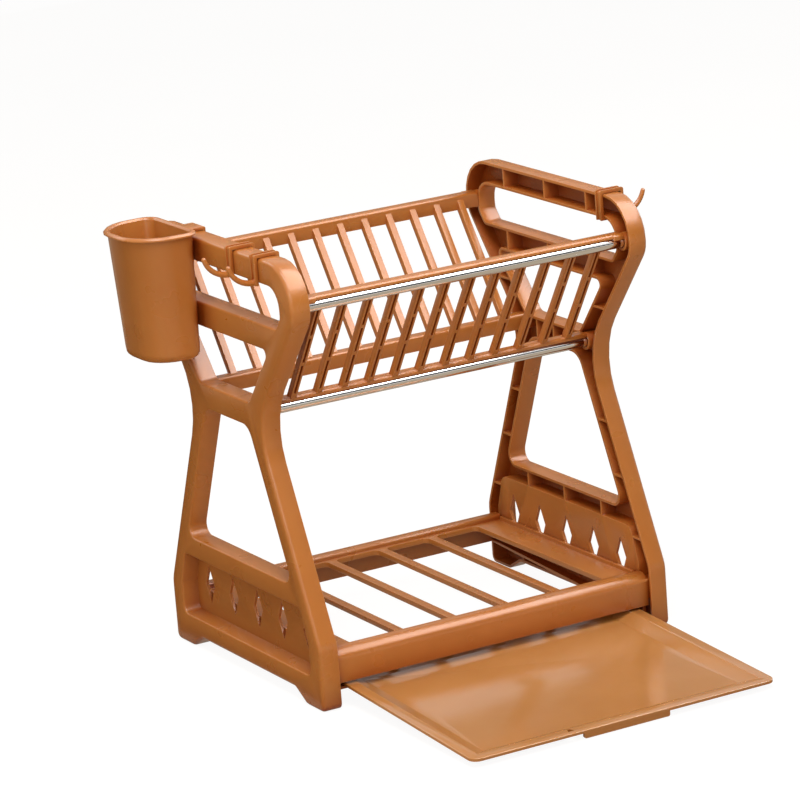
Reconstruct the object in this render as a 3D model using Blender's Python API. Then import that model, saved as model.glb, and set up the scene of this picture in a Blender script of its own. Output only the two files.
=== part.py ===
"""Two-tier dish rack, in metres.

Two moulded side frames carry four steel tubes, two plate combs and a bowl shelf. A drip tray slides out
from under the shelf, a cutlery cup hangs on the left frame, and hooks clip round the frames' top bars.
X runs along the tubes, -Y is the front and +Z is up. The origin is on the surface that the rack stands
on, under the middle of the rack's overall box with the tray drawn out.
"""

import math

import bmesh
import bpy
from mathutils import Vector

# Overall sizes
FRAME_HEIGHT = 0.340
INNER_WIDTH = 0.276
FRAME_THICKNESS = 0.0155
BASE_DEPTH = 0.242

# Depths and places along the depth, as shares of the depth at the base
LOOP_DEPTH_SHARE = 1.008
WAIST_DEPTH_SHARE = 0.409
DIAMOND_PITCH_SHARE = 0.1653
CUP_PLACE_SHARE = 0.219
HOOK_PLACE_SHARES = {"left_front_hook": -0.2946, "left_rear_hook": -0.1343, "right_hook": -0.3463}

# Pitches along the tubes, as shares of the width between the frames
COMB_PITCH_SHARE = 0.0797
SHELF_PITCH_SHARE = 0.1685

# Heights of the frame's features, as shares of the frame's height
KNEE_SHARE = 0.147
WAIST_SHARE = 0.619
BULGE_SHARE = 0.879
WAIST_BAR_SHARE = 0.631
MIDDLE_BAR_SHARE = 0.8245
UPPER_TUBE_SHARE = 0.9018
LOWER_TUBE_SHARE = 0.639

# Side frame: walls, bars and corners
WALL = 0.0022
PANEL = 0.0024
EDGE_ROUND = 0.003
HOLE_EDGE_ROUND = 0.0015
TOP_BAR = 0.0185
MIDDLE_BAR = 0.0193
WAIST_BAR = 0.019
LOOP_BEAM = 0.020
FLARE_BEAM = 0.0205
LEG_BEAM = 0.0165
SILL_HEIGHT = 0.092
TOE_RADIUS = 0.0055
KNEE_RADIUS = 0.020
WAIST_RADIUS = 0.055
WINDOW_TOP_RADIUS = 0.014
WINDOW_RADIUS = 0.008
SMALL_RADIUS = 0.004

# Roundings of the loop, as shares of the height that they stand in
BULGE_ROUND_SHARE = 0.48
TOP_ROUND_SHARE = 0.78
LOOP_INNER_ROUND_SHARE = 0.68

# Feet, and the arch between them
FOOT_LIFT = 0.0096
FOOT_LENGTH = 0.028
FOOT_RAMP = 0.017
ARCH_RADIUS = 0.008

# Recessed panel with its diamond holes
POCKET_LOW = 0.025
POCKET_HIGH = 0.076
POCKET_BEAM = 0.015
POCKET_RADIUS = 0.006
POCKET_DRAFT = 0.0012
DIAMOND_COUNT = 5
DIAMOND_HEIGHT = 0.031
DIAMOND_WIDTH = 0.015

# Stiffening ribs in the frame's channel; the shares place them along the height and the depth
RIB = 0.0016
LEG_RIB_SHARES = (0.206, 0.341, 0.462, 0.730)
BAR_RIB_SHARES = (-0.25, 0.0, 0.25)

# Steel tubes and the sockets that hold them
TUBE_RADIUS = 0.0045
TUBE_WALL = 0.0008
TUBE_GRIP = 0.011
SOCKET_WALL = 0.0022
UPPER_TUBE_INSET = 0.0125
LOWER_TUBE_INSET = 0.003

# Plate combs
COMB_RIB_COUNT = 12
COMB_RIB_WIDTH = 0.0052
COMB_RIB_DEPTH = 0.0055
COMB_GROOVE_WIDTH = 0.0019
COMB_GROOVE_DEPTH = 0.003
COMB_BRIDGE = 0.0016
COMB_BRIDGE_SHARES = (0.03, 0.38, 0.68, 0.99)
COMB_WEB = 0.0025
COMB_SKIN = 0.0024
COMB_LIP = 0.0012
COMB_END = 0.009
TOP_END_COVER = 0.0028
TOP_RAIL_COVER = 0.0041
BOTTOM_RAIL_COVER = 0.0038

# Bowl shelf
SHELF_TOP = 0.0444
SHELF_RAIL_HEIGHT = 0.0254
SHELF_RAIL_DEPTH = 0.015
SHELF_INSET = 0.004
SHELF_STEP = 0.0044
SHELF_FLOOR = 0.004
SHELF_WALL = 0.0026
SHELF_RAIL_ROUND = 0.0085
SHELF_INNER_ROUND = 0.003
SHELF_SLOT_COUNT = 5
SHELF_BAR = 0.007
SHELF_SLOT_RADIUS = 0.005
LUG_REACH = 0.008
LUG_LOW = 0.024
LUG_HEIGHT = 0.016

# Drip tray and the sloping runners that it slides on
TRAY_SIDE_GAP = 0.0075
TRAY_PULL_SHARE = 0.858
TRAY_SLOPE_DEGREES = 3.0
TRAY_LIFT = 0.0011
TRAY_FLANGE = 0.009
TRAY_FLANGE_THICKNESS = 0.0024
TRAY_DEPTH = 0.0062
TRAY_FLOOR = 0.0017
TRAY_WALL_RUN = 0.0115
TRAY_RADIUS = 0.007
TRAY_RIDGE = 0.0009
TRAY_RIDGE_SHARE = 0.78
TRAY_LIP_WIDTH = 0.0735
TRAY_LIP_LIFT = 0.0007
TRAY_LIP_RADIUS = 0.0015
TRAY_NOTCH_SHARE = 0.346
TRAY_NOTCH_WIDTH = 0.0052
TRAY_NOTCH_LENGTH = 0.0081
TRAY_NOTCH_SETBACK = 0.0045
RUNNER_THICKNESS = 0.002
RUNNER_LAP = 0.0037

# Cutlery cup
CUP_LENGTH = 0.082
CUP_DEPTH = 0.055
CUP_RISE = 0.007
CUP_HEIGHT = 0.099
CUP_WALL = 0.0018
CUP_RIM = 0.003
CUP_RIM_HEIGHT = 0.0034
CUP_FRONT_TAPER = 0.006
CUP_END_TAPER = 0.004
CUP_OUTER_RADIUS = 0.030
CUP_BACK_RADIUS = 0.010
CUP_FOOT_ROUND = 0.007
CUP_CLIP_WIDTH = 0.020
CUP_CLIP_THICKNESS = 0.0024
CUP_CLIP_DROP = 0.0095
CUP_DRAIN_COUNT = 3
CUP_DRAIN_LENGTH = 0.014
CUP_DRAIN_WIDTH = 0.0036

# Hooks
HOOK_WIDTH = 0.0074
HOOK_BAND = 0.0016
HOOK_EDGE = 0.0010
HOOK_EDGE_WIDTH = 0.0017
HOOK_CATCH = 0.0026
HOOK_ROD_RADIUS = 0.0024
HOOK_ROD_TAPER_SHARE = 0.25
HOOK_BEND_RADIUS = 0.0195
HOOK_LEAD = 0.002
HOOK_BEND_DEGREES = 74.0

# Clearance between touching pieces, overrun of every cut, and the fineness of round stretches
GAP = 0.0003
OVERRUN = 0.002
LEAST_RADIUS = 0.0003
SOFT_EDGE = 0.0003
ARC_STEP_DEGREES = 15.0
EDGE_STEPS = 3
CUP_FOOT_STEPS = 5
TUBE_SIDES = 24
ROD_SIDES = 10
ROD_STEPS = 9
ROD_TIP_SHARES = (0.6, 0.9)

# Places that follow from the sizes above
INNER_HALF = INNER_WIDTH / 2
COMB_RIB_PITCH = COMB_PITCH_SHARE * INNER_WIDTH
SHELF_SLOT_PITCH = SHELF_PITCH_SHARE * INNER_WIDTH
OUTER_HALF = INNER_HALF + FRAME_THICKNESS
BASE_HALF = BASE_DEPTH / 2
LOOP_HALF = LOOP_DEPTH_SHARE * BASE_HALF
WAIST_CORNER_HALF = WAIST_DEPTH_SHARE * BASE_HALF
DIAMOND_PITCH = DIAMOND_PITCH_SHARE * BASE_DEPTH
KNEE_Z = KNEE_SHARE * FRAME_HEIGHT
WAIST_Z = WAIST_SHARE * FRAME_HEIGHT
BULGE_Z = BULGE_SHARE * FRAME_HEIGHT
WAIST_BAR_LOW = WAIST_BAR_SHARE * FRAME_HEIGHT - WAIST_BAR / 2
WAIST_BAR_HIGH = WAIST_BAR_LOW + WAIST_BAR
MIDDLE_BAR_LOW = MIDDLE_BAR_SHARE * FRAME_HEIGHT - MIDDLE_BAR / 2
MIDDLE_BAR_HIGH = MIDDLE_BAR_LOW + MIDDLE_BAR
TOP_BAR_LOW = FRAME_HEIGHT - TOP_BAR
BULGE_RADIUS = BULGE_ROUND_SHARE * (FRAME_HEIGHT - BULGE_Z)
TOP_RADIUS = TOP_ROUND_SHARE * (FRAME_HEIGHT - BULGE_Z)
LOOP_INNER_RADIUS = LOOP_INNER_ROUND_SHARE * (TOP_BAR_LOW - BULGE_Z)
UPPER_TUBE = Vector((LOOP_HALF - UPPER_TUBE_INSET, UPPER_TUBE_SHARE * FRAME_HEIGHT))
LOWER_TUBE = Vector((WAIST_CORNER_HALF - LOWER_TUBE_INSET, LOWER_TUBE_SHARE * FRAME_HEIGHT))
SOCKET_RADIUS = TUBE_RADIUS + GAP + SOCKET_WALL
SHELF_HALF_DEPTH = BASE_HALF - SHELF_INSET
SHELF_HALF_WIDTH = INNER_HALF - GAP
SHELF_LOW = SHELF_TOP - SHELF_RAIL_HEIGHT
SHELF_DECK = SHELF_TOP - SHELF_STEP
TRAY_SLOPE = math.radians(TRAY_SLOPE_DEGREES)
TRAY_HALF_WIDTH = INNER_HALF - TRAY_SIDE_GAP
TRAY_LENGTH = 2 * SHELF_HALF_DEPTH - SHELF_RAIL_DEPTH - TRAY_DEPTH
TRAY_FRONT_Y = -SHELF_HALF_DEPTH - TRAY_PULL_SHARE * TRAY_LENGTH
TRAY_FRONT_Z = TRAY_DEPTH + TRAY_LIFT
CUP_BACK = OUTER_HALF + GAP
CUP_BASE = FRAME_HEIGHT + CUP_RISE - CUP_HEIGHT

CARAMEL = ("caramel_polypropylene", (0.56, 0.235, 0.075, 1), 0.38, 0.0)
STEEL = ("polished_steel", (0.78, 0.78, 0.80, 1), 0.12, 1.0)


def clear_scene():
    for old in list(bpy.data.objects):
        bpy.data.objects.remove(old)


def material(name, colour, roughness, metallic):
    found = bpy.data.materials.get(name) or bpy.data.materials.new(name)
    found.use_nodes = True
    shader = found.node_tree.nodes["Principled BSDF"]
    shader.inputs["Base Color"].default_value = colour
    shader.inputs["Roughness"].default_value = roughness
    shader.inputs["Metallic"].default_value = metallic
    return found


# Outlines: lists of (a, b, radius) corners, counter-clockwise
def corner_arc(before, corner, after, radius):
    """The points of one rounded corner, or the corner itself where its radius is 0."""
    if not radius:
        return [corner]
    back = (before - corner).normalized()
    ahead = (after - corner).normalized()
    turn = math.pi - back.angle(ahead)
    steps = max(1, math.ceil(math.degrees(turn) / ARC_STEP_DEGREES))
    start = corner + back * radius * math.tan(turn / 2)
    centre = corner + (back + ahead).normalized() * radius / math.cos(turn / 2)
    side = math.copysign(turn, ahead.cross(back))
    spoke = start - centre
    points = []
    for step in range(steps + 1):
        angle = side * step / steps
        turned = Vector((spoke.x * math.cos(angle) - spoke.y * math.sin(angle),
                         spoke.x * math.sin(angle) + spoke.y * math.cos(angle)))
        points.append(centre + turned)
    return points


def rounded(corners):
    points = []
    for index, (a, b, radius) in enumerate(corners):
        before = Vector(corners[index - 1][:2])
        after = Vector(corners[(index + 1) % len(corners)][:2])
        points += corner_arc(before, Vector((a, b)), after, radius)
    return points


def inset(corners, distance):
    """The outline moved inwards by a distance, or outwards by a negative one."""
    moved = []
    for index, (a, b, radius) in enumerate(corners):
        corner = Vector((a, b))
        arriving = (corner - Vector(corners[index - 1][:2])).normalized()
        leaving = (Vector(corners[(index + 1) % len(corners)][:2]) - corner).normalized()
        inward = Vector((-arriving.y - leaving.y, arriving.x + leaving.x))
        place = corner + inward * distance / (1 + arriving.dot(leaving))
        change = -distance if arriving.cross(leaving) > 0 else distance
        moved.append((place.x, place.y, radius and max(LEAST_RADIUS, radius + change)))
    return moved


def both_halves(half):
    """An outline from its half at positive a, listed from the bottom up."""
    return list(half) + [(-a, b, radius) for a, b, radius in reversed(half)]


def rectangle(low_a, high_a, low_b, high_b, radius=0):
    return [(low_a, low_b, radius), (high_a, low_b, radius), (high_a, high_b, radius), (low_a, high_b, radius)]


# Rings: an outline placed square to X, Y or Z
def across(corners, x):
    return [Vector((x, point.x, point.y)) for point in rounded(corners)]


def facing(corners, y):
    return [Vector((point.x, y, point.y)) for point in rounded(corners)]


def flat(corners, z):
    return [Vector((point.x, point.y, z)) for point in rounded(corners)]


def circle(centre, radius, x, sides=TUBE_SIDES):
    ring = []
    for index in range(sides):
        angle = 2 * math.pi * index / sides
        ring.append(Vector((x, centre.x + radius * math.cos(angle), centre.y + radius * math.sin(angle))))
    return ring


# Solids
def as_object(name, mesh):
    bmesh.ops.recalc_face_normals(mesh, faces=mesh.faces)
    data = bpy.data.meshes.new(name)
    mesh.to_mesh(data)
    mesh.free()
    made = bpy.data.objects.new(name, data)
    bpy.context.scene.collection.objects.link(made)
    return made


def add_loft(mesh, rings, closed=False):
    """Adds a solid through rings of equal length, with flat ends unless it closes on itself."""
    rows = [[mesh.verts.new(point) for point in ring] for ring in rings]
    pairs = list(zip(rows, rows[1:]))
    if closed:
        pairs.append((rows[-1], rows[0]))
    for first, second in pairs:
        for index in range(len(first)):
            mesh.faces.new((first[index - 1], first[index], second[index], second[index - 1]))
    if not closed:
        mesh.faces.new(rows[0])
        mesh.faces.new(rows[-1])
    return rows


def loft(name, rings, closed=False):
    mesh = bmesh.new()
    add_loft(mesh, rings, closed)
    return as_object(name, mesh)


def group(name, solids):
    """Several separate solids as one object; each solid is its list of rings."""
    mesh = bmesh.new()
    for rings in solids:
        add_loft(mesh, rings)
    return as_object(name, mesh)


def combine(target, tool, operation):
    modifier = target.modifiers.new(operation.title(), "BOOLEAN")
    modifier.operation = operation
    modifier.object = tool
    evaluated = target.evaluated_get(bpy.context.evaluated_depsgraph_get())
    result = bpy.data.meshes.new_from_object(evaluated)
    target.modifiers.clear()
    target.data = result
    bpy.data.objects.remove(tool)


def cut(target, *tools):
    for tool in tools:
        combine(target, tool, "DIFFERENCE")


def join(target, *tools):
    for tool in tools:
        combine(target, tool, "UNION")


def bar(corners, low, high, place=across):
    """The two end rings of a straight bar."""
    return [place(corners, low), place(corners, high)]


def edged(corners, start, end, edge, direction):
    """Rings along X from start to end; the outline closes in by edge at the end, or opens with direction -1."""
    rings = [across(corners, start)]
    for step in range(EDGE_STEPS + 1):
        angle = math.pi / 2 * step / EDGE_STEPS
        inward = direction * edge * (1 - math.cos(angle))
        rings.append(across(inset(corners, inward), end - edge * (1 - math.sin(angle))))
    return rings


def finish(piece, parent, look, place=(0, 0, 0)):
    piece.parent = parent
    piece.location = place
    piece.data.materials.clear()
    piece.data.materials.append(material(*look))
    piece.data.shade_smooth()
    piece.data.set_sharp_from_angle(angle=math.radians(2 * ARC_STEP_DEGREES))


def mirrored(piece, axis):
    """Turns a piece's mesh over about the middle plane of an axis."""
    for vertex in piece.data.vertices:
        vertex.co[axis] = -vertex.co[axis]
    piece.data.flip_normals()


# Side frame
def leg_line(z):
    """Half depth of the frame's straight leg at a height."""
    share = (z - KNEE_Z) / (WAIST_Z - KNEE_Z)
    return BASE_HALF + (WAIST_CORNER_HALF - BASE_HALF) * share


def flare_line(z):
    """Half depth of the frame's straight flare at a height."""
    share = (z - WAIST_Z) / (BULGE_Z - WAIST_Z)
    return WAIST_CORNER_HALF + (LOOP_HALF - WAIST_CORNER_HALF) * share


def frame_outline():
    heel = BASE_HALF - FOOT_LENGTH
    return both_halves([
        (heel - FOOT_RAMP, FOOT_LIFT, ARCH_RADIUS),
        (heel, 0, ARCH_RADIUS),
        (BASE_HALF, 0, TOE_RADIUS),
        (BASE_HALF, KNEE_Z, KNEE_RADIUS),
        (WAIST_CORNER_HALF, WAIST_Z, WAIST_RADIUS),
        (LOOP_HALF, BULGE_Z, BULGE_RADIUS),
        (LOOP_HALF, FRAME_HEIGHT, TOP_RADIUS),
    ])


def frame_openings():
    """The outlines of the loop's opening, the opening under it and the lower window."""
    loop = both_halves([
        (flare_line(MIDDLE_BAR_HIGH) - FLARE_BEAM, MIDDLE_BAR_HIGH, SMALL_RADIUS),
        (LOOP_HALF - LOOP_BEAM, BULGE_Z, WINDOW_RADIUS),
        (LOOP_HALF - LOOP_BEAM, TOP_BAR_LOW, LOOP_INNER_RADIUS),
    ])
    throat = both_halves([
        (flare_line(WAIST_BAR_HIGH) - FLARE_BEAM, WAIST_BAR_HIGH, WINDOW_RADIUS),
        (flare_line(MIDDLE_BAR_LOW) - FLARE_BEAM, MIDDLE_BAR_LOW, SMALL_RADIUS),
    ])
    window = both_halves([
        (leg_line(SILL_HEIGHT) - LEG_BEAM, SILL_HEIGHT, WINDOW_RADIUS),
        (leg_line(WAIST_BAR_LOW) - LEG_BEAM, WAIST_BAR_LOW, WINDOW_TOP_RADIUS),
    ])
    return loop, throat, window


def pocket_outline():
    """The recess between the legs, under the lower window."""
    return both_halves([
        (BASE_HALF - POCKET_BEAM - PANEL, POCKET_LOW, POCKET_RADIUS),
        (BASE_HALF - POCKET_BEAM - PANEL, KNEE_Z, POCKET_RADIUS),
        (leg_line(POCKET_HIGH) - POCKET_BEAM, POCKET_HIGH, POCKET_RADIUS),
    ])


def channel_ribs():
    """Cross ribs in the legs and in the level bars, as rings."""
    back = OUTER_HALF
    front = INNER_HALF - 2 * OVERRUN
    ribs = []
    for share in LEG_RIB_SHARES:
        height = share * FRAME_HEIGHT
        for side in (-1, 1):
            ends = sorted((side * LOWER_TUBE.x, side * (LOOP_HALF + OVERRUN)))
            ribs.append(bar(rectangle(ends[0], ends[1], height - RIB / 2, height + RIB / 2), front, back))
    bars = (
        (0, POCKET_LOW),
        (POCKET_HIGH, SILL_HEIGHT),
        (WAIST_BAR_LOW, WAIST_BAR_HIGH),
        (MIDDLE_BAR_LOW, MIDDLE_BAR_HIGH),
        (TOP_BAR_LOW, FRAME_HEIGHT),
    )
    for low, high in bars:
        reach = leg_line(low) if low < WAIST_BAR_LOW else LOOP_HALF
        reach = WAIST_CORNER_HALF if low == WAIST_BAR_LOW else reach
        for share in BAR_RIB_SHARES:
            middle = 2 * share * reach
            ribs.append(bar(rectangle(middle - RIB / 2, middle + RIB / 2, low, high), front, back))
    return ribs


def tube_places():
    """The middles of the four tubes, as (depth, height)."""
    places = []
    for centre in (UPPER_TUBE, LOWER_TUBE):
        places.append(Vector((-centre.x, centre.y)))
        places.append(centre.copy())
    return places


def channel(outline, openings, pocket):
    """The hollow behind the frame's face, left standing round its openings, ribs and sockets."""
    hollow = loft("channel", bar(inset(outline, WALL), INNER_HALF - OVERRUN, OUTER_HALF - WALL))
    front = INNER_HALF - 2 * OVERRUN
    for corners in (*openings, pocket):
        cut(hollow, loft("island", bar(inset(corners, -WALL), front, OUTER_HALF)))
    for rib in channel_ribs():
        cut(hollow, loft("rib", rib))
    sockets = []
    for place in tube_places():
        sockets.append([circle(place, SOCKET_RADIUS, front), circle(place, SOCKET_RADIUS, OUTER_HALF)])
    cut(hollow, group("sockets", sockets))
    return hollow


def side_frame(name, parent, side):
    outline = frame_outline()
    openings = frame_openings()
    pocket = pocket_outline()
    frame = loft(name, edged(outline, INNER_HALF, OUTER_HALF, EDGE_ROUND, 1))
    cut(frame, channel(outline, openings, pocket))
    for corners in openings:
        rings = edged(corners, INNER_HALF - OVERRUN, OUTER_HALF, HOLE_EDGE_ROUND, -1)
        rings.append(across(inset(corners, -HOLE_EDGE_ROUND), OUTER_HALF + OVERRUN))
        cut(frame, loft("opening", rings))
    rings = edged(pocket, INNER_HALF + PANEL, OUTER_HALF, HOLE_EDGE_ROUND, -1)
    rings[0] = across(inset(pocket, POCKET_DRAFT), INNER_HALF + PANEL)
    rings.append(across(inset(pocket, -HOLE_EDGE_ROUND), OUTER_HALF + OVERRUN))
    cut(frame, loft("pocket", rings))
    middle = (POCKET_LOW + POCKET_HIGH) / 2
    diamonds = []
    for index in range(DIAMOND_COUNT):
        place = (index - (DIAMOND_COUNT - 1) / 2) * DIAMOND_PITCH
        diamond = [
            (place, middle - DIAMOND_HEIGHT / 2, 0),
            (place + DIAMOND_WIDTH / 2, middle, 0),
            (place, middle + DIAMOND_HEIGHT / 2, 0),
            (place - DIAMOND_WIDTH / 2, middle, 0),
        ]
        diamonds.append(bar(diamond, INNER_HALF - OVERRUN, INNER_HALF + PANEL + OVERRUN))
    cut(frame, group("diamonds", diamonds))
    bores = []
    for place in tube_places():
        ends = (INNER_HALF - OVERRUN, INNER_HALF + TUBE_GRIP + GAP)
        bores.append([circle(place, TUBE_RADIUS + GAP, x) for x in ends])
    cut(frame, group("bores", bores))
    if side < 0:
        mirrored(frame, 0)
    finish(frame, parent, CARAMEL)


# Tubes
def tube(name, parent, place):
    end = INNER_HALF + TUBE_GRIP
    bore = TUBE_RADIUS - TUBE_WALL
    centre = Vector((0, 0))
    rings = [
        circle(centre, TUBE_RADIUS, -end),
        circle(centre, TUBE_RADIUS, end),
        circle(centre, bore, end),
        circle(centre, bore, -end),
    ]
    finish(loft(name, rings, closed=True), parent, STEEL, (0, place.x, place.y))


# Plate comb, modelled at the front; the rear one is its mirror image
def rail_front(cover):
    """How far a rail reaches in front of its tube's middle when it covers the tube down to a height."""
    around = TUBE_RADIUS + GAP
    return math.sqrt(around * around - cover * cover) + COMB_LIP


def saddle(centre, cover):
    """The section of a comb's rail, which lies over its tube and turns down behind it."""
    around = TUBE_RADIUS + GAP
    start = math.pi - math.asin(cover / around)
    front = -rail_front(cover)
    back = around + COMB_WEB
    top = around + COMB_SKIN
    points = [(front, cover, 0)]
    steps = TUBE_SIDES // 2
    for step in range(steps + 1):
        angle = start * (steps - step) / steps
        points.append((around * math.cos(angle), around * math.sin(angle), 0))
    points += [(around, -around, 0), (back, -around, 0), (back, top, COMB_SKIN), (front, top, COMB_SKIN)]
    return [(centre.x + a, centre.y + b, radius) for a, b, radius in points]


def comb(name, parent, side):
    upper = Vector((-UPPER_TUBE.x, UPPER_TUBE.y))
    lower = Vector((-LOWER_TUBE.x, LOWER_TUBE.y))
    around = TUBE_RADIUS + GAP
    end = INNER_HALF - GAP
    pad = end - COMB_END
    stations = (
        (-end, TOP_END_COVER),
        (-pad, TOP_END_COVER),
        (SOFT_EDGE - pad, TOP_RAIL_COVER),
        (pad - SOFT_EDGE, TOP_RAIL_COVER),
        (pad, TOP_END_COVER),
        (end, TOP_END_COVER),
    )
    piece = loft(name, [across(saddle(upper, cover), x) for x, cover in stations])
    join(piece, loft("rail", bar(saddle(lower, BOTTOM_RAIL_COVER), -end, end)))
    foot = lower + Vector((-rail_front(BOTTOM_RAIL_COVER), around + COMB_SKIN / 2))
    head = upper + Vector((around + COMB_WEB / 2, -around))
    along = (head - foot).normalized()
    inward = Vector((along.y, -along.x))
    inner = foot + inward * COMB_RIB_DEPTH
    lean = along.x / along.y
    section = [
        (foot.x, foot.y, 0),
        (inner.x + (foot.y - inner.y) * lean, foot.y, 0),
        (head.x, inner.y + (head.x - inner.x) / lean, 0),
        (head.x, head.y, 0),
    ]
    ribs = []
    grooves = []
    length = (head - foot).length
    for index in range(COMB_RIB_COUNT):
        x = (index - (COMB_RIB_COUNT - 1) / 2) * COMB_RIB_PITCH
        ribs.append(bar(section, x - COMB_RIB_WIDTH / 2, x + COMB_RIB_WIDTH / 2))
        for start, stop in zip(COMB_BRIDGE_SHARES, COMB_BRIDGE_SHARES[1:]):
            low = foot + along * (start * length + COMB_BRIDGE)
            high = foot + along * (stop * length - COMB_BRIDGE)
            corners = []
            for point, depth in ((low, -OVERRUN), (low, COMB_GROOVE_DEPTH),
                                 (high, COMB_GROOVE_DEPTH), (high, -OVERRUN)):
                place = point + inward * depth
                corners.append((place.x, place.y, 0))
            grooves.append(bar(corners, x - COMB_GROOVE_WIDTH / 2, x + COMB_GROOVE_WIDTH / 2))
    join(piece, group("ribs", ribs))
    cut(piece, group("grooves", grooves))
    if side > 0:
        mirrored(piece, 1)
    finish(piece, parent, CARAMEL)


# Bowl shelf
def tray_rim_height(y):
    """Height of the tray's rim above a place along the rack's depth."""
    return TRAY_FRONT_Z + (y - TRAY_FRONT_Y) * math.tan(TRAY_SLOPE)


def shelf_section():
    inner = SHELF_HALF_DEPTH - SHELF_RAIL_DEPTH
    return both_halves([
        (SHELF_HALF_DEPTH, SHELF_LOW, 0),
        (SHELF_HALF_DEPTH, SHELF_TOP, SHELF_RAIL_ROUND),
        (inner, SHELF_TOP, SHELF_INNER_ROUND),
        (inner, SHELF_DECK, 0),
    ])


def shelf_hollow():
    inner = SHELF_HALF_DEPTH - SHELF_RAIL_DEPTH
    return both_halves([
        (SHELF_HALF_DEPTH - SHELF_WALL, SHELF_LOW - OVERRUN, 0),
        (SHELF_HALF_DEPTH - SHELF_WALL, SHELF_TOP - SHELF_WALL, SHELF_RAIL_ROUND - SHELF_WALL),
        (inner + SHELF_WALL, SHELF_TOP - SHELF_WALL, 0),
        (inner + SHELF_WALL, SHELF_DECK - SHELF_FLOOR, 0),
    ])


def runner(side):
    """One end wall under the deck with its sloping ledge, which the tray's rim slides on."""
    front = -(SHELF_HALF_DEPTH - SHELF_STEP)
    back = SHELF_HALF_DEPTH - SHELF_RAIL_DEPTH
    drop = TRAY_FLANGE_THICKNESS + GAP
    front_top = tray_rim_height(front) - drop
    back_top = tray_rim_height(back) - drop
    ledge = [
        (front, front_top - RUNNER_THICKNESS, 0),
        (back, back_top - RUNNER_THICKNESS, 0),
        (back, back_top, 0),
        (front, front_top, 0),
    ]
    deck = SHELF_DECK - SHELF_FLOOR / 2
    wall = [*ledge[:2], (back, deck, 0), (front, deck, 0)]
    inner_edge = TRAY_HALF_WIDTH - RUNNER_LAP
    wall_face = SHELF_HALF_WIDTH - SHELF_WALL
    ledge_ends = sorted((side * inner_edge, side * (wall_face + SHELF_WALL / 2)))
    wall_ends = sorted((side * wall_face, side * SHELF_HALF_WIDTH))
    return loft("ledge", bar(ledge, *ledge_ends)), loft("wall", bar(wall, *wall_ends))


def bowl_shelf(parent):
    shelf = loft("bowl_shelf", bar(shelf_section(), -SHELF_HALF_WIDTH, SHELF_HALF_WIDTH))
    wall_face = SHELF_HALF_WIDTH - SHELF_WALL
    cut(shelf, loft("hollow", bar(shelf_hollow(), -wall_face, wall_face)))
    slots = []
    slot_half = (SHELF_SLOT_PITCH - SHELF_BAR) / 2
    slot_end = SHELF_HALF_DEPTH - SHELF_RAIL_DEPTH - SHELF_WALL
    for index in range(SHELF_SLOT_COUNT):
        x = (index - (SHELF_SLOT_COUNT - 1) / 2) * SHELF_SLOT_PITCH
        outline = rectangle(x - slot_half, x + slot_half, -slot_end, slot_end, SHELF_SLOT_RADIUS)
        slots.append(bar(outline, SHELF_DECK - SHELF_FLOOR - OVERRUN, SHELF_TOP, flat))
    cut(shelf, group("slots", slots))
    board = rectangle(-slot_end, slot_end, SHELF_DECK - SHELF_FLOOR / 2, SHELF_TOP - SHELF_WALL / 2)
    lug_front = SHELF_HALF_DEPTH - GAP
    lug_back = BASE_HALF - POCKET_BEAM - PANEL + WALL + GAP
    for side in (-1, 1):
        join(shelf, *runner(side))
        ends = sorted((side * wall_face, side * SHELF_HALF_WIDTH))
        join(shelf, loft("board", bar(board, *ends)))
        for depth_side in (-1, 1):
            depths = sorted((depth_side * lug_back, depth_side * lug_front))
            lug = rectangle(*depths, LUG_LOW, LUG_LOW + LUG_HEIGHT)
            reach = sorted((side * (wall_face + SHELF_WALL / 2), side * (SHELF_HALF_WIDTH + LUG_REACH)))
            join(shelf, loft("lug", bar(lug, *reach)))
    finish(shelf, parent, CARAMEL)


# Drip tray, modelled level with its front rim's middle at the origin, then tilted onto its runners
def tray_floor(mesh, ring):
    """Closes the tray's floor with four shallow facets that meet in a ridge."""
    ridge_y = TRAY_LENGTH / 2
    ridge_x = TRAY_RIDGE_SHARE * TRAY_HALF_WIDTH
    height = ring[0].co.z + TRAY_RIDGE
    left = mesh.verts.new((-ridge_x, ridge_y, height))
    right = mesh.verts.new((ridge_x, ridge_y, height))
    for index, vertex in enumerate(ring):
        before = ring[index - 1]
        near_before = right if before.co.x > 0 else left
        near = right if vertex.co.x > 0 else left
        if near is near_before:
            mesh.faces.new((before, vertex, near))
        else:
            mesh.faces.new((before, vertex, near, near_before))


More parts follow.
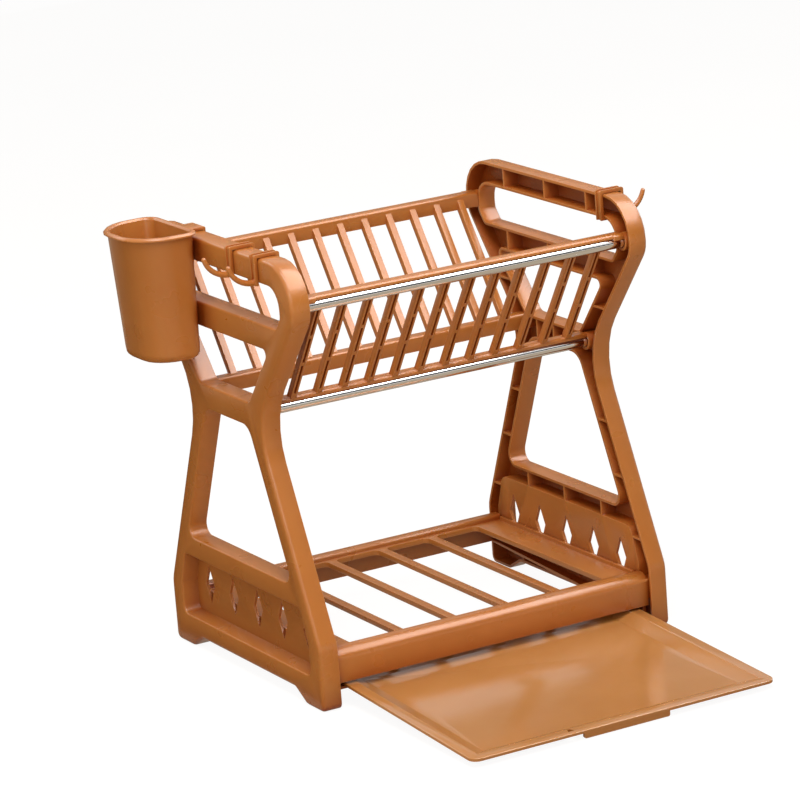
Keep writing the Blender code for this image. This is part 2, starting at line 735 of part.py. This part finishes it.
def drip_tray(parent):
    rim = rectangle(-TRAY_HALF_WIDTH, TRAY_HALF_WIDTH, 0, TRAY_LENGTH, TRAY_RADIUS)
    levels = (
        (TRAY_FLANGE + TRAY_WALL_RUN, TRAY_FLOOR - TRAY_DEPTH),
        (TRAY_FLANGE, -SOFT_EDGE),
        (TRAY_FLANGE - SOFT_EDGE, 0),
        (SOFT_EDGE, 0),
        (0, -SOFT_EDGE),
        (0, -TRAY_FLANGE_THICKNESS),
        (TRAY_FLANGE - TRAY_FLANGE_THICKNESS / 2, -TRAY_FLANGE_THICKNESS),
        (TRAY_FLANGE + TRAY_WALL_RUN - TRAY_FLANGE_THICKNESS, -TRAY_DEPTH),
    )
    mesh = bmesh.new()
    rows = []
    for step, (inward, z) in enumerate(levels):
        row = [mesh.verts.new(point) for point in flat(inset(rim, inward), z)]
        if step:
            for index in range(len(row)):
                mesh.faces.new((rows[-1][index - 1], rows[-1][index], row[index], row[index - 1]))
        rows.append(row)
    mesh.faces.new(rows[-1])
    tray_floor(mesh, rows[0])
    tray = as_object("drip_tray", mesh)
    lip_half = TRAY_LIP_WIDTH / 2
    lip_low = TRAY_LIP_LIFT - TRAY_FRONT_Z
    lip = [
        (-lip_half, lip_low, TRAY_LIP_RADIUS),
        (lip_half, lip_low, TRAY_LIP_RADIUS),
        (lip_half, -TRAY_FLANGE_THICKNESS / 2, 0),
        (-lip_half, -TRAY_FLANGE_THICKNESS / 2, 0),
    ]
    join(tray, loft("lip", bar(lip, 0, TRAY_FLANGE_THICKNESS, facing)))
    notch_x = -TRAY_NOTCH_SHARE * TRAY_HALF_WIDTH
    notch = [
        (notch_x - TRAY_NOTCH_WIDTH / 2, TRAY_NOTCH_SETBACK, 0),
        (notch_x + TRAY_NOTCH_WIDTH / 2, TRAY_NOTCH_SETBACK, 0),
        (notch_x, TRAY_NOTCH_SETBACK + TRAY_NOTCH_LENGTH, 0),
    ]
    cut(tray, loft("notch", bar(notch, -TRAY_DEPTH, OVERRUN, flat)))
    finish(tray, parent, CARAMEL, (0, TRAY_FRONT_Y, TRAY_FRONT_Z))
    tray.rotation_euler = (TRAY_SLOPE, 0, 0)


# Cutlery cup, modelled with its back at x = 0, its base at z = 0 and its middle at y = 0
def cup_plan(low_share, inward):
    """The cup's plan; low_share is 0 at the rim and 1 at the base."""
    depth = CUP_DEPTH - CUP_RIM - CUP_FRONT_TAPER * low_share
    half = CUP_LENGTH / 2 - CUP_RIM - CUP_END_TAPER * low_share
    outer = CUP_OUTER_RADIUS - CUP_END_TAPER * low_share
    corners = [
        (-depth, -half, outer),
        (-CUP_RIM, -half, CUP_BACK_RADIUS),
        (-CUP_RIM, half, CUP_BACK_RADIUS),
        (-depth, half, outer),
    ]
    return inset(corners, inward)


def cup_rings():
    """Rings from the middle of the base out, up the outside, over the rim and down the inside."""
    under_rim = CUP_HEIGHT - CUP_RIM_HEIGHT
    soft = CUP_RIM / 2
    rings = []
    for step in range(CUP_FOOT_STEPS + 1):
        angle = math.pi / 2 * step / CUP_FOOT_STEPS
        inward = CUP_FOOT_ROUND * (1 - math.sin(angle))
        rings.append(flat(cup_plan(1, inward), CUP_FOOT_ROUND * (1 - math.cos(angle))))
    rings.append(flat(cup_plan(0, 0), under_rim))
    rings.append(flat(cup_plan(0, -CUP_RIM), under_rim + soft / 2))
    rings.append(flat(cup_plan(0, -CUP_RIM), CUP_HEIGHT - soft))
    rings.append(flat(cup_plan(0, -CUP_RIM + soft), CUP_HEIGHT))
    rings.append(flat(cup_plan(0, CUP_WALL - soft), CUP_HEIGHT))
    rings.append(flat(cup_plan(0, CUP_WALL), CUP_HEIGHT - soft))
    rings.append(flat(cup_plan(1, CUP_WALL), CUP_FOOT_ROUND))
    rings.append(flat(cup_plan(1, CUP_FOOT_ROUND), CUP_WALL))
    return rings


def cutlery_cup(parent):
    cup = loft("cutlery_cup", cup_rings())
    low = FRAME_HEIGHT + GAP - CUP_BASE
    high = low + CUP_CLIP_THICKNESS
    inner_face = FRAME_THICKNESS + 2 * GAP
    ends = (-CUP_CLIP_WIDTH / 2, CUP_CLIP_WIDTH / 2)
    clip = [
        (-CUP_RIM - CUP_WALL / 2, low, 0),
        (inner_face, low, 0),
        (inner_face, low - CUP_CLIP_DROP, 0),
        (inner_face + CUP_CLIP_THICKNESS, low - CUP_CLIP_DROP, 0),
        (inner_face + CUP_CLIP_THICKNESS, high, CUP_CLIP_THICKNESS / 2),
        (-CUP_RIM - CUP_WALL / 2, high, 0),
    ]
    join(cup, loft("clip", bar(clip, *ends, facing)))
    middle = -(CUP_DEPTH - CUP_FRONT_TAPER) / 2
    drains = []
    for index in range(CUP_DRAIN_COUNT):
        x = middle + (index - (CUP_DRAIN_COUNT - 1) / 2) * 2 * CUP_DRAIN_WIDTH
        half = CUP_DRAIN_WIDTH / 2
        slot = rectangle(x - half, x + half, -CUP_DRAIN_LENGTH / 2, CUP_DRAIN_LENGTH / 2, half / 2)
        drains.append(bar(slot, -OVERRUN, CUP_WALL + OVERRUN, flat))
    cut(cup, group("drains", drains))
    finish(cup, parent, CARAMEL, (-CUP_BACK, CUP_PLACE_SHARE * BASE_DEPTH, CUP_BASE))


# Hook, modelled for the right frame with its origin at the bar's outer face, level with the bar's top
def band_section(thickness):
    inner = -FRAME_THICKNESS - GAP
    bottom = -TOP_BAR - GAP - HOOK_BAND
    return [
        (GAP, bottom, 0),
        (GAP + thickness, bottom, 0),
        (GAP + thickness, GAP + thickness, HOOK_BAND),
        (inner - thickness, GAP + thickness, HOOK_BAND),
        (inner - thickness, bottom, 0),
        (inner + HOOK_CATCH, bottom, 0),
        (inner + HOOK_CATCH, bottom + HOOK_BAND, 0),
        (inner, bottom + HOOK_BAND, 0),
        (inner, GAP, 0),
        (GAP, GAP, 0),
    ]


def rod_rings():
    """The curled rod, from inside the band to its rounded tip."""
    height = -TOP_BAR - GAP - HOOK_BAND + HOOK_ROD_RADIUS
    start = GAP + HOOK_BAND / 2
    bend_x = GAP + HOOK_BAND + HOOK_LEAD
    stations = [(Vector((start, height)), Vector((1, 0)), 1)]
    bend = math.radians(HOOK_BEND_DEGREES)
    for step in range(ROD_STEPS + 1):
        angle = bend * step / ROD_STEPS
        offset = Vector((math.sin(angle), 1 - math.cos(angle))) * HOOK_BEND_RADIUS
        heading = Vector((math.cos(angle), math.sin(angle)))
        stations.append((Vector((bend_x, height)) + offset, heading, 1 - HOOK_ROD_TAPER_SHARE * step / ROD_STEPS))
    tip, heading, full = stations[-1]
    for share in ROD_TIP_SHARES:
        place = tip + heading * HOOK_ROD_RADIUS * full * share
        stations.append((place, heading, full * math.sqrt(1 - share * share)))
    rings = []
    for place, heading, size in stations:
        up = Vector((-heading.y, heading.x)) * HOOK_ROD_RADIUS * size
        ring = []
        for index in range(ROD_SIDES):
            angle = 2 * math.pi * index / ROD_SIDES
            offset = up * math.sin(angle)
            sideways = HOOK_ROD_RADIUS * size * math.cos(angle)
            ring.append(Vector((place.x + offset.x, sideways, place.y + offset.y)))
        rings.append(ring)
    return rings


def hook(name, parent, side, share):
    half = HOOK_WIDTH / 2
    piece = loft(name, bar(band_section(HOOK_BAND), -half, half, facing))
    for edge in (-1, 1):
        ends = sorted((edge * half, edge * (half - HOOK_EDGE_WIDTH)))
        join(piece, loft("edge", bar(band_section(HOOK_BAND + HOOK_EDGE), *ends, facing)))
    join(piece, loft("rod", rod_rings()))
    if side < 0:
        mirrored(piece, 0)
    finish(piece, parent, CARAMEL, (side * OUTER_HALF, share * BASE_DEPTH, FRAME_HEIGHT))


def centre(rack):
    """Moves the rack so that the middle of its overall box stands on the origin."""
    bpy.context.view_layer.update()
    points = []
    for piece in rack.children:
        points += [piece.matrix_world @ vertex.co for vertex in piece.data.vertices]
    middle = [(min(axis) + max(axis)) / 2 for axis in zip(*points)]
    rack.location = (-middle[0], -middle[1], 0)


def build():
    clear_scene()
    rack = bpy.data.objects.new("rack", None)
    bpy.context.scene.collection.objects.link(rack)
    side_frame("left_side_frame", rack, -1)
    side_frame("right_side_frame", rack, 1)
    names = ("front_upper_tube", "rear_upper_tube", "front_lower_tube", "rear_lower_tube")
    for name, place in zip(names, tube_places()):
        tube(name, rack, place)
    comb("front_plate_comb", rack, -1)
    comb("rear_plate_comb", rack, 1)
    bowl_shelf(rack)
    drip_tray(rack)
    cutlery_cup(rack)
    for name, share in HOOK_PLACE_SHARES.items():
        hook(name, rack, -1 if name.startswith("left") else 1, share)
    centre(rack)


build()
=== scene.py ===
"""Two-tier dish rack: finishes, softened mouldings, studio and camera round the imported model.

Places are in metres, in the model's own frame: +X to the rack's right along its tubes, +Y to the rear,
+Z up, with the rack standing on Z = 0.
"""

import math

import bmesh
import bpy
from mathutils import Matrix, Vector


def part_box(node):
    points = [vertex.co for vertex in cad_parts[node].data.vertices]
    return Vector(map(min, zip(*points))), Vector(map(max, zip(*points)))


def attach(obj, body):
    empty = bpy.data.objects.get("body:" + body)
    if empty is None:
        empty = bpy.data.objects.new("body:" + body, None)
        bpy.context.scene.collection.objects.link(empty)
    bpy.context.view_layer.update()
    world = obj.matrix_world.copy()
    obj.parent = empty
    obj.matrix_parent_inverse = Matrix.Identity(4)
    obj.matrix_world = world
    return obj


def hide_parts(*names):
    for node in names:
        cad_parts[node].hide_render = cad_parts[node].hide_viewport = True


MM = 0.001

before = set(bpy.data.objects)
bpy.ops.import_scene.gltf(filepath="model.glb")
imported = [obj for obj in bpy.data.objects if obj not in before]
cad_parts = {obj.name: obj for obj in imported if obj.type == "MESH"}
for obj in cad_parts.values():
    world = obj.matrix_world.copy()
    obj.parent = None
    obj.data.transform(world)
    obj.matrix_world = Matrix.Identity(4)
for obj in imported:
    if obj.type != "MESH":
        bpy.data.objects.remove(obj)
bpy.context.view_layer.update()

# The rack's middle: between the outer faces of its side frames, and at half their height
left_low, left_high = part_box("left_side_frame")
right_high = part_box("right_side_frame")[1]
MIDDLE = Vector((
    (left_low.x + right_high.x) / 2,
    (left_low.y + left_high.y) / 2,
    left_high.z / 2,
))


# Materials
WHITE = "#FFFFFF"
BLACK = "#000000"

# Sockets of the Mix node when it mixes colours
SHARE, FIRST, SECOND, MIXED = 0, 6, 7, 2


def linear(colour):
    """An sRGB hex colour as linear RGBA."""
    channels = [int(colour[place:place + 2], 16) / 255 for place in (1, 3, 5)]
    return [c / 12.92 if c <= 0.04045 else ((c + 0.055) / 1.055) ** 2.4 for c in channels] + [1.0]


def connect(tree, node, inputs):
    """Sets each input of a node, or links it where its value is another node's output."""
    for name, value in inputs.items():
        if isinstance(value, bpy.types.NodeSocket):
            tree.links.new(value, node.inputs[name])
        else:
            node.inputs[name].default_value = value


def add(tree, kind, settings=None, inputs=None):
    """Adds a node with its settings and its inputs."""
    node = tree.nodes.new(kind)
    for name, value in (settings or {}).items():
        setattr(node, name, value)
    connect(tree, node, inputs or {})
    return node


def material(name):
    """A new node material, its tree and its Principled shader."""
    made = bpy.data.materials.new(name)
    made.use_nodes = True
    tree = made.node_tree
    return made, tree, tree.nodes["Principled BSDF"]


# Moulded polypropylene: its patterns, the reach of its painted corner shade and of its paler edges (partly
# rubbed wear, partly painted highlight), and how light soaks in
CLOUD_SIZE = 60 * MM
SHEEN_SIZE = 25 * MM
SHEEN_BELOW = 0.04
SHEEN_ABOVE = 0.05
PAINTED_SHADE_REACH = 35 * MM
FULL_SHADE_SKY = 0.3
NO_SHADE_SKY = 0.8
RUB_AND_HIGHLIGHT_RADIUS = 0.9 * MM
RUB_AND_HIGHLIGHT_MATCH = 0.8
FLAT_MATCH = 0.985
RUB_AND_HIGHLIGHT_SHARE = 0.75
SOAK_SHARE = 0.15
SOAK_DEPTH = 2.5 * MM
SOAK_BY_CHANNEL = (1.0, 0.3, 0.08)


def moulded_polypropylene(name, corner, deep, light, rubbed_and_highlit, roughness, grain_size, grain_depth):
    """Injection-moulded polypropylene in solid caramel.

    The eye sees an even colour with faint clouding where the melt flowed, a satin sheen that softens every
    reflection, and a little light that soaks in and glows in thin walls and corners. Corners and channels
    also get a painted shade, and outer edges a paler rim that is partly rubbed wear and partly painted
    highlight.
    """
    made, tree, shader = material(name)
    place = add(tree, "ShaderNodeTexCoord").outputs["Object"]
    # Flow clouding
    cloud = add(tree, "ShaderNodeTexNoise", inputs={
        "Vector": place, "Scale": 1 / CLOUD_SIZE, "Detail": 3.0, "Roughness": 0.55,
    })
    clouding = add(tree, "ShaderNodeMapRange", inputs={
        "Value": cloud.outputs["Fac"], "From Min": 0.25, "From Max": 0.75,
    })
    body = add(tree, "ShaderNodeMix", {"data_type": "RGBA"}, {
        SHARE: clouding.outputs["Result"], FIRST: linear(deep), SECOND: linear(light),
    })
    # Painted shade: where the AO node finds corners and channels sheltered, their colour is mixed towards a
    # deeper, more orange one, standing in for their shade and for light glowing through the plastic
    sky = add(tree, "ShaderNodeAmbientOcclusion", {"samples": 8}, {"Distance": PAINTED_SHADE_REACH})
    painted_shade_share = add(tree, "ShaderNodeMapRange", inputs={
        "Value": sky.outputs["AO"], "From Min": FULL_SHADE_SKY, "From Max": NO_SHADE_SKY,
        "To Min": 1.0, "To Max": 0.0,
    })
    shaded = add(tree, "ShaderNodeMix", {"data_type": "RGBA"}, {
        SHARE: painted_shade_share.outputs["Result"], FIRST: body.outputs[MIXED], SECOND: linear(corner),
    })
    # Outer edges are painted paler over about 1 mm, partly as rubbed wear and partly as a painted highlight:
    # there the rounded normal leaves the face's own
    rounded = add(tree, "ShaderNodeBevel", {"samples": 4}, {"Radius": RUB_AND_HIGHLIGHT_RADIUS})
    own = add(tree, "ShaderNodeNewGeometry")
    match = add(tree, "ShaderNodeVectorMath", {"operation": "DOT_PRODUCT"}, {
        0: rounded.outputs["Normal"], 1: own.outputs["Normal"],
    })
    edge = add(tree, "ShaderNodeMapRange", inputs={
        "Value": match.outputs["Value"], "From Min": RUB_AND_HIGHLIGHT_MATCH, "From Max": FLAT_MATCH,
        "To Min": RUB_AND_HIGHLIGHT_SHARE, "To Max": 0.0,
    })
    outer = add(tree, "ShaderNodeMath", {"operation": "SUBTRACT", "use_clamp": True}, {
        0: edge.outputs["Result"], 1: painted_shade_share.outputs["Result"],
    })
    worn_and_highlit = add(tree, "ShaderNodeMix", {"data_type": "RGBA"}, {
        SHARE: outer.outputs["Value"], FIRST: shaded.outputs[MIXED], SECOND: linear(rubbed_and_highlit),
    })
    # Spark-eroded mould grain, drawn coarse enough to break up the highlights
    grain = add(tree, "ShaderNodeTexNoise", inputs={
        "Vector": place, "Scale": 1 / grain_size, "Detail": 2.0, "Roughness": 0.6,
    })
    bump = add(tree, "ShaderNodeBump", inputs={
        "Height": grain.outputs["Fac"], "Strength": 1.0, "Distance": grain_depth,
    })
    # The sheen varies a little, as wear polishes the surface
    wear = add(tree, "ShaderNodeTexNoise", inputs={"Vector": place, "Scale": 1 / SHEEN_SIZE, "Detail": 2.0})
    sheen = add(tree, "ShaderNodeMapRange", inputs={
        "Value": wear.outputs["Fac"], "To Min": roughness - SHEEN_BELOW, "To Max": roughness + SHEEN_ABOVE,
    })
    connect(tree, shader, {
        "Base Color": worn_and_highlit.outputs[MIXED],
        "Normal": bump.outputs["Normal"],
        "Roughness": sheen.outputs["Result"],
        "IOR": 1.49,
        "Subsurface Weight": SOAK_SHARE,
        "Subsurface Radius": SOAK_BY_CHANNEL,
        "Subsurface Scale": SOAK_DEPTH,
    })
    return made


# Buffing lines along the tubes
LINE_LENGTH = 80 * MM
LINE_PITCH = 0.625 * MM
LINE_DEPTH = 0.02 * MM


def polished_stainless():
    """Stainless tube, drawn and buffed along its length.

    The eye sees a mirror with fine lines along the tube that stretch each reflection.
    """
    made, tree, shader = material("polished_stainless_tube")
    place = add(tree, "ShaderNodeTexCoord").outputs["Object"]
    lines = add(tree, "ShaderNodeMapping", inputs={
        "Vector": place, "Scale": (1 / LINE_LENGTH, 1 / LINE_PITCH, 1 / LINE_PITCH),
    })
    scratch = add(tree, "ShaderNodeTexNoise", inputs={
        "Vector": lines.outputs["Vector"], "Scale": 1.0, "Detail": 2.0,
    })
    sheen = add(tree, "ShaderNodeMapRange", inputs={
        "Value": scratch.outputs["Fac"], "To Min": 0.06, "To Max": 0.16,
    })
    tint_share = add(tree, "ShaderNodeMapRange", inputs={
        "Value": scratch.outputs["Fac"], "From Min": 0.3, "From Max": 0.7,
    })
    tint = add(tree, "ShaderNodeMix", {"data_type": "RGBA"}, {
        SHARE: tint_share.outputs["Result"], FIRST: linear("#DCDBD9"), SECOND: linear("#EDECEA"),
    })
    bump = add(tree, "ShaderNodeBump", inputs={
        "Height": scratch.outputs["Fac"], "Strength": 0.4, "Distance": LINE_DEPTH,
    })
    connect(tree, shader, {
        "Base Color": tint.outputs[MIXED],
        "Normal": bump.outputs["Normal"],
        "Roughness": sheen.outputs["Result"],
        "Metallic": 1.0,
    })
    return made


# Frames, combs, shelf, cup and hooks share one satin moulding; the tray is glossier
# In each moulding the corner colour is a painted shade for corners and channels, and the pale edge colour is
# partly rubbed wear and partly a painted highlight
SATIN = moulded_polypropylene(
    "moulded_polypropylene_satin",
    corner="#8A3A0A", deep="#AC672B", light="#B36E31", rubbed_and_highlit="#D89A63",
    roughness=0.28, grain_size=0.7 * MM, grain_depth=0.010 * MM,
)
GLOSSY = moulded_polypropylene(
    "moulded_polypropylene_glossy",
    corner="#9A5C22", deep="#B07640", light="#B77D46", rubbed_and_highlit="#E3AC74",
    roughness=0.15, grain_size=0.9 * MM, grain_depth=0.003 * MM,
)
STEEL = polished_stainless()


# Pieces: the gap that is welded, the creases that are flattened or kept, and the area that stays flat
WELD_GAP = 0.002 * MM
FLAT_DEGREES = 0.6
SHARP_DEGREES = 32
TRAY_SHARP_DEGREES = 18
BROAD_AREA = (20 * MM) ** 2
EDGE_SEGMENTS = 2

RACK_MOULDINGS = ("left_side_frame", "right_side_frame", "front_plate_comb", "rear_plate_comb", "bowl_shelf")
TUBES = ("front_upper_tube", "front_lower_tube", "rear_upper_tube", "rear_lower_tube")
HOOKS = ("left_front_hook", "left_rear_hook", "right_hook")


def softened(node, body, look, edge, sharp_degrees=SHARP_DEGREES):
    """A node's shape with welded faces, small rounded edges and smooth shading, standing for the node.

    Broad faces stay flat, so that their creases read as crisp folds.
    """
    mesh = bmesh.new()
    mesh.from_mesh(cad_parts[node].data)
    bmesh.ops.remove_doubles(mesh, verts=mesh.verts, dist=WELD_GAP)
    bmesh.ops.dissolve_limit(mesh, angle_limit=math.radians(FLAT_DEGREES), verts=mesh.verts, edges=mesh.edges)
    data = bpy.data.meshes.new(node + "_moulding")
    mesh.to_mesh(data)
    mesh.free()
    piece = bpy.data.objects.new(node + "_moulding", data)
    bpy.context.scene.collection.objects.link(piece)
    bevel = piece.modifiers.new("edge", "BEVEL")
    bevel.width = edge
    bevel.segments = EDGE_SEGMENTS
    bevel.limit_method = "ANGLE"
    bevel.angle_limit = math.radians(sharp_degrees)
    bevel.use_clamp_overlap = True
    evaluated = piece.evaluated_get(bpy.context.evaluated_depsgraph_get())
    piece.data = bpy.data.meshes.new_from_object(evaluated)
    piece.modifiers.clear()
    piece.data.materials.clear()
    piece.data.materials.append(look)
    piece.data.shade_smooth()
    for face in piece.data.polygons:
        if face.area > BROAD_AREA:
            face.use_smooth = False
    piece.data.set_sharp_from_angle(angle=math.radians(sharp_degrees))
    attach(piece, body)
    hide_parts(node)


for node in RACK_MOULDINGS:
    softened(node, "rack", SATIN, edge=0.35 * MM)
for node in TUBES:
    softened(node, "rack", STEEL, edge=0.1 * MM)
# The tray's walls are shallow, so its creases stay crisp from a smaller angle
softened("drip_tray", "tray", GLOSSY, 0.2 * MM, TRAY_SHARP_DEGREES)
softened("cutlery_cup", "cup", SATIN, edge=0.25 * MM)
for node in HOOKS:
    softened(node, node, SATIN, edge=0.15 * MM)


# Studio: places, widths and heights are in metres from the rack's middle, and powers in watts
AMBIENT = 0.34
TABLE_REACH = 6.0
TABLE_DROP = 0.2 * MM
TABLE_TONE_SIZE = 300 * MM
TABLE_WHITE = 1.15
TABLE_WHITE_SHARE = 0.8


def seen(tree):
    """1 where the camera sees a surface, straight, mirrored or through glass, and 0 for its light."""
    path = add(tree, "ShaderNodeLightPath").outputs
    mirrored = add(tree, "ShaderNodeMath", {"operation": "MAXIMUM"}, {
        0: path["Is Camera Ray"], 1: path["Is Glossy Ray"],
    })
    through = add(tree, "ShaderNodeMath", {"operation": "MAXIMUM"}, {
        0: mirrored.outputs["Value"], 1: path["Is Transmission Ray"],
    })
    return through.outputs["Value"]


def studio_world():
    """Even light, with a white backdrop for the camera and in reflections."""
    world = bpy.data.worlds.new("studio")
    bpy.context.scene.world = world
    world.use_nodes = True
    tree = world.node_tree
    strength = add(tree, "ShaderNodeMapRange", inputs={"Value": seen(tree), "To Min": AMBIENT, "To Max": 1.0})
    connect(tree, tree.nodes["Background"], {"Color": linear(WHITE), "Strength": strength.outputs["Result"]})


def matt_pale_table():
    """A matt pale table top, mostly plain white to the camera, so that only the heart of the shadow stays."""
    made, tree, shader = material("matt_pale_table")
    place = add(tree, "ShaderNodeTexCoord").outputs["Object"]
    noise = add(tree, "ShaderNodeTexNoise", inputs={"Vector": place, "Scale": 1 / TABLE_TONE_SIZE})
    tone_share = add(tree, "ShaderNodeMapRange", inputs={
        "Value": noise.outputs["Fac"], "From Min": 0.3, "From Max": 0.7,
    })
    tone = add(tree, "ShaderNodeMix", {"data_type": "RGBA"}, {
        SHARE: tone_share.outputs["Result"], FIRST: linear("#CBC3B8"), SECOND: linear("#D2CABF"),
    })
    connect(tree, shader, {"Base Color": tone.outputs[MIXED], "Roughness": 0.7})
    white_share = add(tree, "ShaderNodeMath", {"operation": "MULTIPLY"}, {
        0: seen(tree), 1: TABLE_WHITE_SHARE,
    })
    white = add(tree, "ShaderNodeEmission", inputs={"Color": linear(WHITE), "Strength": TABLE_WHITE})
    blend = add(tree, "ShaderNodeMixShader", inputs={
        0: white_share.outputs["Value"], 1: shader.outputs["BSDF"], 2: white.outputs["Emission"],
    })
    connect(tree, tree.nodes["Material Output"], {"Surface": blend.outputs["Shader"]})
    made.cycles.emission_sampling = "NONE"
    return made


def flat_sheet(name, corners, look):
    """A flat sheet that isn't part of the rack."""
    mesh = bmesh.new()
    mesh.faces.new([mesh.verts.new(corner) for corner in corners])
    data = bpy.data.meshes.new(name)
    mesh.to_mesh(data)
    mesh.free()
    data.materials.append(look)
    sheet = bpy.data.objects.new(name, data)
    bpy.context.scene.collection.objects.link(sheet)
    return sheet


def table_top():
    """The table, just under the rack's feet, so that no two faces coincide."""
    corners = [(x * TABLE_REACH, y * TABLE_REACH, 0) for x, y in ((-1, -1), (1, -1), (1, 1), (-1, 1))]
    sheet = flat_sheet("table_top", corners, matt_pale_table())
    sheet.location.z = -TABLE_DROP


def softbox(name, place, width, height, power):
    """An area lamp that faces the rack's middle, with its width along the rack's depth."""
    data = bpy.data.lights.new(name, "AREA")
    data.shape = "RECTANGLE"
    data.size = width
    data.size_y = height
    data.energy = power
    lamp = bpy.data.objects.new(name, data)
    bpy.context.scene.collection.objects.link(lamp)
    back = Vector(place).normalized()
    across = (Vector((0, 1, 0)) - back * back.y).normalized()
    turned = Matrix((across, back.cross(across), back)).transposed().to_4x4()
    lamp.matrix_world = Matrix.Translation(MIDDLE + Vector(place)) @ turned


def card(name, colour, x, y, z, strength=1.0):
    """A bright or dark card, level or upright, that only reflections see: a painted reflection that shines by
    itself.

    x, y and z each give its low and its high place. It is never sampled as a lamp.
    """
    made, tree, shader = material(name + "_painted_reflection")
    connect(tree, shader, {
        "Base Color": linear(BLACK),
        "Specular IOR Level": 0.0,
        "Emission Color": linear(colour),
        "Emission Strength": strength,
    })
    made.cycles.emission_sampling = "NONE"
    corners = ((x[0], y[0], z[0]), (x[1], y[0], z[0]), (x[1], y[1], z[1]), (x[0], y[1], z[1]))
    sheet = flat_sheet(name, [MIDDLE + Vector(corner) for corner in corners], made)
    sheet.visible_camera = False
    sheet.visible_diffuse = False
    sheet.visible_shadow = False


table_top()
studio_world()
softbox("overhead_softbox", place=(-0.4, -0.6, 1.5), width=1.4, height=0.6, power=24.0)
softbox("key_softbox", place=(-0.9, -1.3, 0.75), width=0.8, height=0.8, power=7.0)
softbox("left_softbox", place=(-2.0, -0.6, 1.0), width=0.8, height=0.8, power=3.0)
softbox("right_softbox", place=(1.9, 0.4, 0.7), width=1.0, height=1.0, power=12.0)
softbox("rear_softbox", place=(-0.8, 1.8, 1.5), width=0.8, height=0.8, power=6.0)

# The heights of the cards at the table, one above the other so that none coincide, and of the overhead sheen
# card
TABLE_CARD = 0.2 * MM - MIDDLE.z
GROUND_CARD = 0.6 * MM - MIDDLE.z
WALL_FOOT = 1.0 * MM - MIDDLE.z
SHEEN_CARD_HEIGHT = 1.5
# How far the widest cards reach, and those on the rack's left
BOTH_WAYS = (-3.0, 3.0)
LEFTWARDS = (-3.0, -0.16)
PAINTED_SHADE_BROWN = "#2A2018"

# The table as reflections see it, and painted shade: dark ground cards, seen only in reflections, that stand
# for the rack's shadow on the table behind it and to its left
card("table_card", "#BFB09C", x=BOTH_WAYS, y=BOTH_WAYS, z=(TABLE_CARD, TABLE_CARD))
card("ground_card", PAINTED_SHADE_BROWN, x=BOTH_WAYS, y=(0.2, 0.9), z=(GROUND_CARD, GROUND_CARD))
card("left_ground_card", PAINTED_SHADE_BROWN, x=LEFTWARDS, y=(-0.2, 0.2), z=(GROUND_CARD, GROUND_CARD))
# Painted shade: an upright dark card on the rack's left, seen only in reflections, that darkens what the left
# faces reflect
card("left_card", PAINTED_SHADE_BROWN, x=LEFTWARDS, y=(0.25, 0.25), z=(WALL_FOOT, 0.0))
# A dim wall at the rear
card("rear_card", "#8C8278", x=BOTH_WAYS, y=(2.0, 2.0), z=(WALL_FOOT, 0.92))
# Painted highlight: a bright card overhead, seen only in reflections, that draws the pale sheen on upturned
# faces
card("painted_sheen_card", WHITE, x=(0.1, 1.8), y=(-1.8, 0.25), z=(SHEEN_CARD_HEIGHT, SHEEN_CARD_HEIGHT), strength=10.0)
# Painted reflection: a black strip, seen only in reflections, that draws the dark line along each tube
card("line_card", "#14181C", x=(-2.5, 2.5), y=(-1.5, -1.5), z=(0.15, 0.7))


# Camera: its angles in radians round the rack's middle, and the picture's sizes in its pixels
CAMERA_TURN = -0.500218
CAMERA_RISE = 0.265695
CAMERA_ROLL = -0.0771093
CAMERA_DISTANCE = 3272.19 * MM
FOCAL_PX = 4234.23
OFFSET_RIGHT_PX = 5.366
OFFSET_DOWN_PX = 22.428
PICTURE_PX = 800
SENSOR_MM = 36.0


def studio_camera():
    """The photograph's view: front left, a little above, with a slight roll."""
    back = Vector((
        math.sin(CAMERA_TURN) * math.cos(CAMERA_RISE),
        -math.cos(CAMERA_TURN) * math.cos(CAMERA_RISE),
        math.sin(CAMERA_RISE),
    ))
    level = Vector((0, 0, 1)).cross(back).normalized()
    upright = back.cross(level)
    right = level * math.cos(CAMERA_ROLL) + upright * math.sin(CAMERA_ROLL)
    up = upright * math.cos(CAMERA_ROLL) - level * math.sin(CAMERA_ROLL)
    data = bpy.data.cameras.new("studio_camera")
    data.sensor_width = SENSOR_MM
    data.lens = FOCAL_PX / PICTURE_PX * SENSOR_MM
    data.shift_x = -OFFSET_RIGHT_PX / PICTURE_PX
    data.shift_y = OFFSET_DOWN_PX / PICTURE_PX
    camera = bpy.data.objects.new("studio_camera", data)
    bpy.context.scene.collection.objects.link(camera)
    turned = Matrix((right, up, back)).transposed().to_4x4()
    camera.matrix_world = Matrix.Translation(MIDDLE + back * CAMERA_DISTANCE) @ turned
    bpy.context.scene.camera = camera


studio_camera()
bpy.context.scene.view_settings.view_transform = "Standard"
